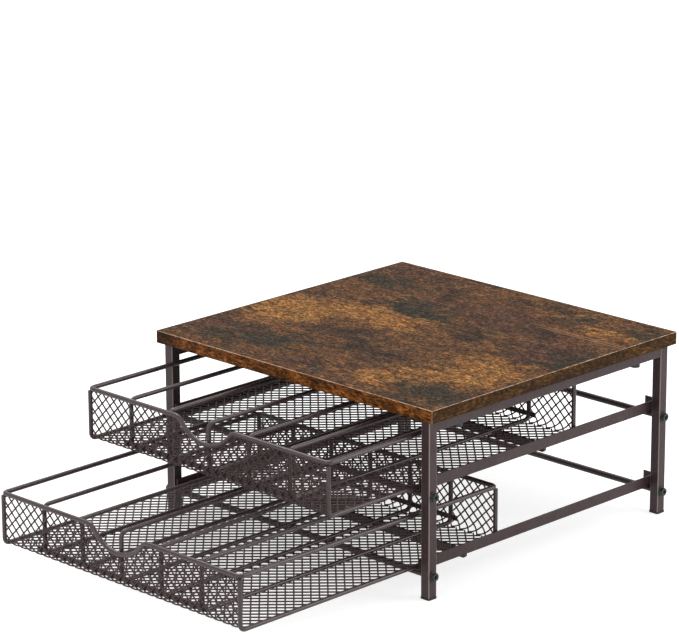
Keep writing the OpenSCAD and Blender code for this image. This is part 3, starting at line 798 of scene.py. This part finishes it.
net_angle = math.atan2(OPENING_TALL, OPENING_WIDE)
net_spacing = OPENING_WIDE * math.sin(net_angle)
rim_line = -0.5 * MM
drop = WIRE_DROP + rim_line - BEND
upright_length = OPENINGS_UP_AND_ROUND * OPENING_TALL
floor_start = BEND + upright_length - drop - BEND * math.pi / 2
notch_values = {"Rim line": rim_line, "Notch radius": 42 * MM, "Notch rise": 23 * MM,
                "Shoulder radius": 9 * MM, "Shoulder x": 39.71 * MM, "Joint height": -3.35 * MM}
upright_values = {"Steps": 48, "Drop": drop, "Bend radius": BEND, "Length": upright_length}
print("net openings", round(OPENING_WIDE / MM, 2), "x", round(OPENING_TALL / MM, 2), "mm")


# %% Grow the sheets
def sheet_values(low, high):
    """The sizes that the three sheets of one drawer share, from its rim wire's box."""
    return {
        "Width": high.x - low.x - RIM_D - INTO_SIDE_WIRES * SIDE_WIRE_D,
        "First angle": net_angle, "Second angle": math.pi - net_angle,
        "First spacing": net_spacing, "Second spacing": net_spacing,
        "Strand": STRAND_D, "Knot": KNOT_D, "Finish": finishes["frame_metal"]}


for tier in TIERS:
    low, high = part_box(tier + "_rim_wire")
    front_y, back_y = low.y + RIM_D / 2, high.y - RIM_D / 2
    floor_z = high.z - RIM_D / 2 - WIRE_DROP
    sheets = {
        "_front": {**upright_values, **notch_values, "Origin": (0, front_y, floor_z),
                   "Facing": 1.0},
        "_rear": {**upright_values, "Origin": (0, back_y, floor_z), "Facing": -1.0},
        "_floor": {"Steps": 2, "Length": back_y - front_y - 2 * floor_start,
                   "Origin": (0, front_y + floor_start, floor_z), "Facing": 1.0}}
    for sheet, values in sheets.items():
        net = grow(tier + sheet + "_net", sheet_tree, {**sheet_values(low, high), **values})
        finish_piece(net, tier + "_drawer", "frame_metal", tier + sheet + "_mesh")

# %% [markdown]
# ## Bolt and screw heads
# Eight flanged bolts hold the crossbars, and four cheese-head screws hold the board. Both have a
# hex socket. A head is turned on a lathe, so it is a stack of rings, and only the rings of
# the socket are hexagons. The points of every ring stand at the same angles, so round rings and
# hexagons join up. Each kind of head is made once and copied by Geometry Nodes on to one point
# for each bolt.

# %% Turn a head from a stack of rings
HEX = "hexagon"


def turned_head(name, rings, sides=36):
    """A closed mesh from rings of radius and height in mm, tip first; HEX marks a hexagon."""
    shape = bmesh.new()
    loops = []
    for radius, height, *mark in rings:
        loop = []
        for i in range(sides):
            angle = 2 * math.pi * i / sides
            off_flat = (angle + math.pi / 6) % (math.pi / 3) - math.pi / 6
            r = radius / math.cos(off_flat) if HEX in mark else radius
            x, y = r * math.cos(angle), r * math.sin(angle)
            loop.append(shape.verts.new((x * MM, y * MM, height * MM)))
        loops.append(loop)
    for below, above in zip(loops, loops[1:]):
        for i in range(sides):
            j = (i + 1) % sides
            shape.faces.new((below[i], below[j], above[j], above[i]))
    shape.faces.new(list(reversed(loops[0])))
    shape.faces.new(loops[-1])
    mesh = bpy.data.meshes.new(name)
    shape.to_mesh(mesh)
    shape.free()
    return mesh


def shank(radius, tip, chamfer=0.35):
    """The rings of a plain shank with a chamfered tip."""
    return [(radius - chamfer, tip), (radius, tip + chamfer), (radius, 0.0)]


# %% The two kinds of head, in millimetres
BOLT_HEAD_R, BOLT_HEAD_H = 4.9, 4.0
SCREW_HEAD_R, SCREW_HEAD_H = 4.6, 3.4
bolt_rings = shank(2.0, -23.2) + [
    (4.62, 0.00), (4.84, 0.08), (4.90, 0.22), (4.90, 0.74), (4.82, 0.92), (4.60, 1.00),
    (4.12, 1.04), (3.95, 1.14), (3.90, 1.32), (3.90, 3.36), (3.84, 3.64), (3.70, 3.84),
    (3.46, 3.96), (3.20, 4.00), (1.95, 4.00), (1.84, 3.97), (1.62, 3.84, HEX), (1.50, 3.66, HEX),
    (1.50, 1.40, HEX), (0.30, 1.10)]
screw_rings = shank(2.0, -20.8) + [
    (4.36, 0.00), (4.54, 0.07), (4.60, 0.22), (4.60, 2.90), (4.54, 3.14), (4.40, 3.31),
    (4.14, 3.40), (1.95, 3.40), (1.84, 3.37), (1.62, 3.24, HEX), (1.50, 3.08, HEX),
    (1.50, 1.90, HEX), (0.30, 1.72)]
bolt_mesh = turned_head("flanged_bolt", bolt_rings)
screw_mesh = turned_head("cheese_head_screw", screw_rings)
print("bolt", len(bolt_mesh.polygons), "faces, screw", len(screw_mesh.polygons), "faces")


# %% Copy a pattern on to points
def copies_tree():
    """Copies a pattern on to points, each facing its point's way and spun by chance about it."""
    tree, given = new_tree("copies on points", {"Pattern": bpy.types.Object, "Spin": float,
                                                "Seed": int, "Finish": bpy.types.Material})
    pattern = add(tree, "GeometryNodeObjectInfo",
                  {"Object": given["Pattern"], "As Instance": False})
    facing = add(tree, "GeometryNodeInputNamedAttribute", {"Name": "facing"},
                 data_type="FLOAT_VECTOR")
    turned = add(tree, "FunctionNodeAlignRotationToVector", {"Vector": facing.outputs[0]}, axis="Z")
    spin = add(tree, "FunctionNodeRandomValue", {2: calc(tree, "MULTIPLY", given["Spin"], -1),
                                                 3: given["Spin"], "Seed": given["Seed"]})
    about = add(tree, "FunctionNodeAxisAngleToRotation",
                {"Axis": (0, 0, 1), "Angle": spin.outputs[1]})
    both = add(tree, "FunctionNodeRotateRotation",
               {"Rotation": turned.outputs[0], "Rotate By": about.outputs[0]},
               rotation_space="LOCAL")
    copies = add(tree, "GeometryNodeInstanceOnPoints", {
        "Points": given["Geometry"], "Instance": pattern.outputs["Geometry"],
        "Rotation": both.outputs[0]})
    close_tree(tree, copies.outputs[0], given["Finish"])
    return tree


def points_mesh(name, places):
    """Bare points, from pairs of place and facing direction."""
    mesh = bpy.data.meshes.new(name)
    mesh.from_pydata([place for place, facing in places], [], [])
    facings = mesh.attributes.new("facing", "FLOAT_VECTOR", "POINT")
    for item, (place, facing) in zip(facings.data, places):
        item.vector = facing
    return mesh


def copy_pattern(name, pattern_mesh, places, body, slot, *replaced, seed):
    """One finished piece with the pattern copied on every place."""
    pattern = link_object("pattern", pattern_mesh)
    values = {"Pattern": pattern, "Spin": math.pi, "Seed": seed, "Finish": finishes[slot]}
    piece = grow(name, copier, values, points_mesh(name, places))
    bpy.data.objects.remove(pattern)
    finish_piece(piece, body, slot, *replaced)


copier = copies_tree()
print("copying recipe:", len(copier.nodes), "nodes")

# %% [markdown]
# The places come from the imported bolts' own box: a head's middle is half a head inside it. Each
# head is spun by chance about its own axis, with a fixed seed.

# %% Place the bolts and screws
bolt_places = []
for side in ("left", "right"):
    low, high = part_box(side + "_frame_bolts")
    out = -1 if side == "left" else 1
    rise, radius = BOLT_HEAD_H * MM, BOLT_HEAD_R * MM
    face_x = (low.x + rise) if side == "left" else (high.x - rise)
    for y in (low.y + radius, high.y - radius):
        for z in (low.z + radius, high.z - radius):
            bolt_places.append(((face_x, y, z), (out, 0, 0)))
copy_pattern("frame_bolts", bolt_mesh, bolt_places, "frame", "bolt_black",
             "left_frame_bolts", "right_frame_bolts", seed=4)

low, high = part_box("board_screws")
rise, radius = SCREW_HEAD_H * MM, SCREW_HEAD_R * MM
screw_places = [((x, y, low.z + rise), (0, 0, -1))
                for x in (low.x + radius, high.x - radius)
                for y in (low.y + radius, high.y - radius)]
copy_pattern("board_screw_heads", screw_mesh, screw_places, "frame", "bolt_black",
             "board_screws", seed=9)

# %% [markdown]
# ## Weld beads
# The drawers are spot-welded, and the coat has closed over the welds, so each joint shows as a
# small soft swelling between the wires. A slightly dented ball makes one. The beads sit under the
# rim at the four corners, and where the tie strips meet the dividers.

# %% A bead
def bead_mesh(name, size):
    """A ball, stretched to the given size in millimetres, with a few shallow dents."""
    shape = bmesh.new()
    bmesh.ops.create_uvsphere(shape, u_segments=12, v_segments=8, radius=0.5 * MM)
    for i, v in enumerate(shape.verts):
        dent = 1 + 0.05 * math.sin(7 * i)
        v.co = Vector((v.co.x * size[0], v.co.y * size[1], v.co.z * size[2])) * dent
    mesh = bpy.data.meshes.new(name)
    shape.to_mesh(mesh)
    shape.free()
    return mesh


corner_bead = bead_mesh("corner_bead", (2.8, 2.8, 1.8))
tie_bead = bead_mesh("tie_bead", (2.0, 2.0, 1.5))
print("a bead has", len(tie_bead.polygons), "faces")

# %% Place the beads
CORNER_WELD_UP, CORNER_WELD_IN = 46.9 * MM, 2.9 * MM
TIE_WELD_HEIGHTS = (7.6 * MM, 8.6 * MM)
TIE_WELD_IN, TIE_WELD_ASIDE = 4.7 * MM, 1.9 * MM

for tier in TIERS:
    low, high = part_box(tier + "_rim_wire")
    floor_z = high.z - RIM_D / 2 - WIRE_DROP
    corners = [((x, y, floor_z + CORNER_WELD_UP), (0, 0, 1))
               for x in (low.x + CORNER_WELD_IN, high.x - CORNER_WELD_IN)
               for y in (low.y + CORNER_WELD_IN, high.y - CORNER_WELD_IN)]
    body = tier + "_drawer"
    copy_pattern(tier + "_corner_welds", corner_bead, corners, body, "frame_metal", seed=3)
    ties = []
    for n in range(1, 6):
        wire_low, wire_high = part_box(tier + "_divider_" + str(n))
        middle = (wire_low.x + wire_high.x) / 2
        for x in (middle - TIE_WELD_ASIDE, middle + TIE_WELD_ASIDE):
            for z in [floor_z + height for height in TIE_WELD_HEIGHTS]:
                ties.append(((x, low.y + TIE_WELD_IN, z), (0, 1, 0)))
                ties.append(((x, high.y - TIE_WELD_IN, z), (0, -1, 0)))
    copy_pattern(tier + "_tie_welds", tie_bead, ties, body, "frame_metal", seed=5)

# %% [markdown]
# ## Floor, backdrop and light
# A product photograph has a white ground and soft light from large panels. The floor is matt and
# pale, and a glow that only the camera and reflections see lifts it to white, while the stand's
# own shadow still shows. The world does the same above the horizon, so the metal mirrors the pale
# room that the camera sees. Three panels light the object: one high and to the left, one to the
# right and a little behind, and a long one in front. A round wire mirrors the first two as bright
# lines.

# %% The floor
FLOOR_GREY, FLOOR_GLOW = 0.6, 0.74


def sees_background(tree):
    """1 for rays from the camera, off glossy things or through clear ones, else 0."""
    paths = add(tree, "ShaderNodeLightPath").outputs
    indirect = calc(tree, "MAXIMUM", paths["Is Glossy Ray"], paths["Is Transmission Ray"])
    return calc(tree, "MAXIMUM", paths["Is Camera Ray"], indirect)


def studio_floor():
    """Matt and pale, with a glow that only lifts the background."""
    material = bpy.data.materials.new("studio_floor")
    material.use_nodes = True
    tree = material.node_tree
    tree.nodes.clear()
    grey = (FLOOR_GREY, FLOOR_GREY, FLOOR_GREY, 1)
    matt = add(tree, "ShaderNodeBsdfDiffuse", {"Color": grey}).outputs[0]
    strength = calc(tree, "MULTIPLY", sees_background(tree), FLOOR_GLOW)
    glow = add(tree, "ShaderNodeEmission", {"Strength": strength}).outputs[0]
    surface = add(tree, "ShaderNodeAddShader", {0: matt, 1: glow}).outputs[0]
    add(tree, "ShaderNodeOutputMaterial", {0: surface})
    return material


ground = bmesh.new()
bmesh.ops.create_grid(ground, x_segments=4, y_segments=4, size=9)
ground_mesh = bpy.data.meshes.new("studio_floor")
ground.to_mesh(ground_mesh)
ground.free()
floor = link_object("studio_floor", ground_mesh)
floor.data.materials.append(studio_floor())
print("floor", round(floor.dimensions.x), "m wide")

# %% The world
WORLD_LIGHT, WORLD_SEEN = 0.45, 1.0

world = bpy.data.worlds.new("studio")
world.use_nodes = True
bpy.context.scene.world = world
sky = world.node_tree
sky.nodes.clear()
strength = add(sky, "ShaderNodeMapRange",
               {0: sees_background(sky), 3: WORLD_LIGHT, 4: WORLD_SEEN}).outputs[0]
glow = add(sky, "ShaderNodeBackground", {"Color": (1, 1, 1, 1), "Strength": strength}).outputs[0]
add(sky, "ShaderNodeOutputWorld", {0: glow})
print("world light", WORLD_LIGHT, "and as a background", WORLD_SEEN)


# %% The light panels
AIM = (0, 0, 0.1)
PANELS = {
    "top_panel": ((-0.9, 0.4, 2.0), (1.3, 1.3), 30),
    "right_panel": ((1.8, 1.3, 1.1), (1.2, 1.6), 20),
    "front_panel": ((0.4, -2.4, 1.1), (1.6, 0.8), 11.5)}


def panel(name, place, size, watts):
    """A soft rectangular panel that faces the object and isn't seen by the camera."""
    light = bpy.data.lights.new(name, "AREA")
    light.shape = "RECTANGLE"
    light.size, light.size_y = size
    light.energy = watts
    lamp = bpy.data.objects.new(name, light)
    lamp.location = place
    lamp.rotation_euler = (Vector(AIM) - Vector(place)).to_track_quat("-Z", "Y").to_euler()
    lamp.visible_camera = False
    bpy.context.scene.collection.objects.link(lamp)


for name, (place, size, watts) in PANELS.items():
    panel(name, place, size, watts)
    print(name, watts, "W")
bpy.context.scene.view_settings.view_transform = "Standard"

# %% [markdown]
# ## Sizes
# Blender adds looks and never size.

# %% Update the scene
bpy.context.view_layer.update()
